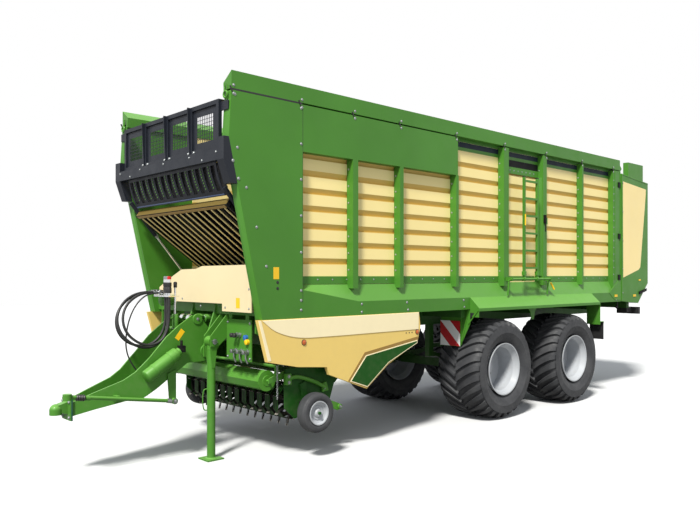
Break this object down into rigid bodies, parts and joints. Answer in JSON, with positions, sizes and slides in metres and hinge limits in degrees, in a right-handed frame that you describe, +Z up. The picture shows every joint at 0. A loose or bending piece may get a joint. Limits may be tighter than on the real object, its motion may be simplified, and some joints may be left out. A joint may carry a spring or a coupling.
{
  "type": "loader wagon",
  "caption": "Tandem-axle forage loader wagon with slatted high sides, raised pick-up, swing-up tailgate, movable front wall and an articulated ball-hitch drawbar.",
  "frame": {"origin": "on the ground, centre of the machine's footprint", "axes": "+X forward to the drawbar, +Y to the left, +Z up"},
  "size_m": [10.34, 2.69, 3.98],
  "materials": {
    "green": "gloss green paint",
    "bright_green": "gloss green paint",
    "cream": "satin cream paint",
    "anthracite": "satin dark grey paint",
    "tyre": "black rubber",
    "silver": "silver paint",
    "steel": "worn bare steel",
    "chrome": "polished rod",
    "rubber": "smooth black rubber",
    "lamp": "red lamp housing"
  },
  "bodies": {
    "wagon": {"left_side_wall": "cream", "right_side_wall": "cream", "front_panels": "green", "sills": "bright_green", "left_stakes": "green", "right_stakes": "green", "top_rails": "green", "load_floor": "green", "scraper_chains": "steel", "front_beam": "anthracite", "comb_baffle": "anthracite", "front_grille": "anthracite", "front_hood": "cream", "chassis_frame": "green", "headstock": "green", "rotor_trough": "green", "coupling_panel": "green", "gearbox": "green", "side_hoods": "cream", "front_axle": "green", "rear_axle": "green", "suspension": "anthracite", "fenders": "bright_green", "rear_lamps": "lamp", "ladder_pivot": "green"},
    "tailgate": {"tailgate_panel": "green", "tailgate_sides": "green"},
    "side_door": {"side_door": "cream"},
    "ladder": {"ladder": "silver"},
    "front_wall": {"front_wall": "cream"},
    "front_wall_barrels": {"front_wall_barrels": "anthracite"},
    "front_wall_rods": {"front_wall_rods": "chrome"},
    "drawbar": {"drawbar": "bright_green", "ball_coupling": "green", "steering_rod": "bright_green", "hose_holder": "green", "hose_1": "rubber", "hose_2": "rubber", "hose_3": "rubber", "hose_4": "rubber"},
    "drawbar_barrels": {"drawbar_barrels": "green"},
    "drawbar_rods": {"drawbar_rods": "chrome"},
    "pickup": {"pickup_frame": "green"},
    "pickup_reel": {"pickup_reel": "anthracite"},
    "left_gauge_wheel": {"left_gauge_wheel": "tyre"},
    "right_gauge_wheel": {"right_gauge_wheel": "tyre"},
    "crop_press": {"crop_press": "bright_green"},
    "press_roller": {"press_roller": "green"},
    "intake_rotor": {"intake_rotor": "green"},
    "support_leg": {"support_leg": "bright_green"},
    "front_left_wheel": {"tyre_front_left": "tyre", "rim_front_left": "silver"},
    "front_right_wheel": {"tyre_front_right": "tyre", "rim_front_right": "silver"},
    "left_knuckle": {"left_knuckle": "green"},
    "right_knuckle": {"right_knuckle": "green"},
    "rear_left_wheel": {"tyre_rear_left": "tyre", "rim_rear_left": "silver"},
    "rear_right_wheel": {"tyre_rear_right": "tyre", "rim_rear_right": "silver"}
  },
  "joints": [
    {"name": "tailgate_hinge", "type": "hinge", "parent": "wagon", "child": "tailgate", "pos_m": [-4.2, 0, 3.85], "axis": [0, 1, 0], "range_deg": [0, 75]},
    {"name": "side_door_hinge", "type": "hinge", "parent": "wagon", "child": "side_door", "pos_m": [-0.802, 1.054, 2.6], "axis": [0, 0, 1], "range_deg": [0, 90]},
    {"name": "ladder_fold", "type": "hinge", "parent": "wagon", "child": "ladder", "pos_m": [-1.1875, 1.28, 1.93], "axis": [-1, 0, 0], "range_deg": [0, 155]},
    {"name": "front_wall_swing", "type": "hinge", "parent": "wagon", "child": "front_wall", "pos_m": [2.68, 0, 1.95], "axis": [0, -1, 0], "range_deg": [0, 50]},
    {"name": "front_wall_trunnion", "type": "hinge", "parent": "front_wall", "child": "front_wall_barrels", "pos_m": [3.6951, 0, 2.67943], "axis": [0, -1, 0], "range_deg": [0, 2.55]},
    {"name": "front_wall_strut", "type": "slide", "parent": "front_wall_barrels", "child": "front_wall_rods", "axis": [-0.6415, 0, -0.7671], "range_m": [0, 0.3182]},
    {"name": "drawbar_pitch", "type": "hinge", "parent": "wagon", "child": "drawbar", "pos_m": [3.555, 0, 1.15], "axis": [0, -1, 0], "range_deg": [-8, 12]},
    {"name": "drawbar_barrel_tilt", "type": "hinge", "parent": "wagon", "child": "drawbar_barrels", "pos_m": [3.02, 0, 1.504], "axis": [0, -1, 0], "range_deg": [-1.25, 1.87]},
    {"name": "drawbar_rod_stroke", "type": "slide", "parent": "drawbar_barrels", "child": "drawbar_rods", "axis": [1, 0, 0], "range_m": [-0.075, 0.05]},
    {"name": "pickup_lift", "type": "hinge", "parent": "wagon", "child": "pickup", "pos_m": [1.9, 0, 1.3], "axis": [0, 1, 0], "range_deg": [0, 22]},
    {"name": "reel_spin", "type": "hinge", "parent": "pickup", "child": "pickup_reel", "pos_m": [2.88, 0, 0.6], "axis": [0, 1, 0], "continuous": true},
    {"name": "left_gauge_spin", "type": "hinge", "parent": "pickup", "child": "left_gauge_wheel", "pos_m": [2.785, 1.17, 0.505], "axis": [0, 1, 0], "continuous": true},
    {"name": "right_gauge_spin", "type": "hinge", "parent": "pickup", "child": "right_gauge_wheel", "pos_m": [2.785, -1.17, 0.505], "axis": [0, 1, 0], "continuous": true},
    {"name": "crop_press_lift", "type": "hinge", "parent": "pickup", "child": "crop_press", "pos_m": [3.04, 0, 0.93], "axis": [0, -1, 0], "range_deg": [0, 25]},
    {"name": "press_roller_spin", "type": "hinge", "parent": "crop_press", "child": "press_roller", "pos_m": [3.252, 0, 0.865], "axis": [0, 1, 0], "continuous": true},
    {"name": "rotor_spin", "type": "hinge", "parent": "wagon", "child": "intake_rotor", "pos_m": [2.56, 0, 1.25], "axis": [0, 1, 0], "continuous": true},
    {"name": "support_leg_fold", "type": "hinge", "parent": "wagon", "child": "support_leg", "pos_m": [3.608, 0.4, 1.27], "axis": [0, -1, 0], "range_deg": [0, 80]},
    {"name": "front_left_spin", "type": "hinge", "parent": "wagon", "child": "front_left_wheel", "pos_m": [-0.5, 0.985, 0.69], "axis": [0, 1, 0], "continuous": true},
    {"name": "front_right_spin", "type": "hinge", "parent": "wagon", "child": "front_right_wheel", "pos_m": [-0.5, -0.985, 0.69], "axis": [0, 1, 0], "continuous": true},
    {"name": "left_steer", "type": "hinge", "parent": "wagon", "child": "left_knuckle", "pos_m": [-2.37, 0.56, 0.69], "axis": [0, 0, 1], "range_deg": [-15, 15]},
    {"name": "right_steer", "type": "hinge", "parent": "wagon", "child": "right_knuckle", "pos_m": [-2.37, -0.56, 0.69], "axis": [0, 0, 1], "range_deg": [-15, 15]},
    {"name": "rear_left_spin", "type": "hinge", "parent": "left_knuckle", "child": "rear_left_wheel", "pos_m": [-2.37, 0.985, 0.69], "axis": [0, 1, 0], "continuous": true},
    {"name": "rear_right_spin", "type": "hinge", "parent": "right_knuckle", "child": "rear_right_wheel", "pos_m": [-2.37, -0.985, 0.69], "axis": [0, 1, 0], "continuous": true}
  ],
  "couplings": [
    {"joint": "front_wall_trunnion", "follows": "front_wall_swing", "ratio": 0.0509},
    {"joint": "front_wall_strut", "follows": "front_wall_swing", "m_per_rad": 0.3646},
    {"joint": "drawbar_barrel_tilt", "follows": "drawbar_pitch", "ratio": 0.155},
    {"joint": "drawbar_rod_stroke", "follows": "drawbar_pitch", "m_per_rad": -0.357},
    {"joint": "right_steer", "follows": "left_steer", "ratio": 1}
  ]
}
